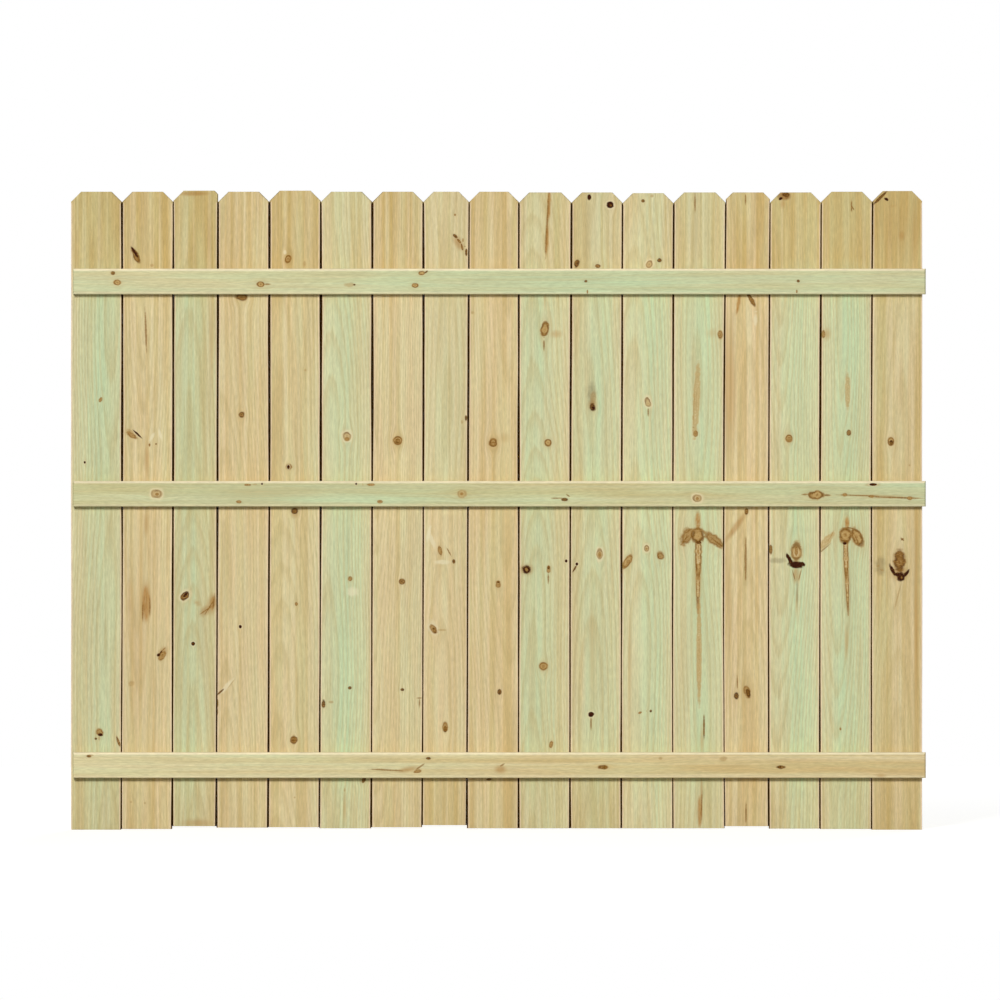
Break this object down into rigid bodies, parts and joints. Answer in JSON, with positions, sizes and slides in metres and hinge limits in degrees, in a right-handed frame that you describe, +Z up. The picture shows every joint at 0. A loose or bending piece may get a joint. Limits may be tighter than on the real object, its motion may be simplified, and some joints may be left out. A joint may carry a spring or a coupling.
{
  "type": "dog-ear picket fence panel",
  "caption": "Solid privacy fence panel of butted pine pickets with clipped top corners, stapled to horizontal backer rails and shown from the rail side.",
  "frame": {"origin": "middle of the panel's box, at the level of the lowest picket foot", "axes": "+X along the fence, +Y from the rail side to the street side, +Z up"},
  "size_m": [2.4454, 0.054, 1.829],
  "materials": {
    "picket_pine": "rough-sawn pressure-treated pine, greenish to honey, knotty",
    "rail_pine": "planed pressure-treated pine with eased edges",
    "galvanised_wire": "dull galvanised flat wire"
  },
  "bodies": {
    "root": {"picket_01": "picket_pine", "picket_02": "picket_pine", "picket_03": "picket_pine", "picket_04": "picket_pine", "picket_05": "picket_pine", "picket_06": "picket_pine", "picket_07": "picket_pine", "picket_08": "picket_pine", "picket_09": "picket_pine", "picket_10": "picket_pine", "picket_11": "picket_pine", "picket_12": "picket_pine", "picket_13": "picket_pine", "picket_14": "picket_pine", "picket_15": "picket_pine", "picket_16": "picket_pine", "picket_17": "picket_pine", "top_rail": "rail_pine", "middle_rail": "rail_pine", "bottom_rail": "rail_pine", "top_rail_staples": "galvanised_wire", "middle_rail_staples": "galvanised_wire", "bottom_rail_staples": "galvanised_wire"}
  },
  "joints": []
}
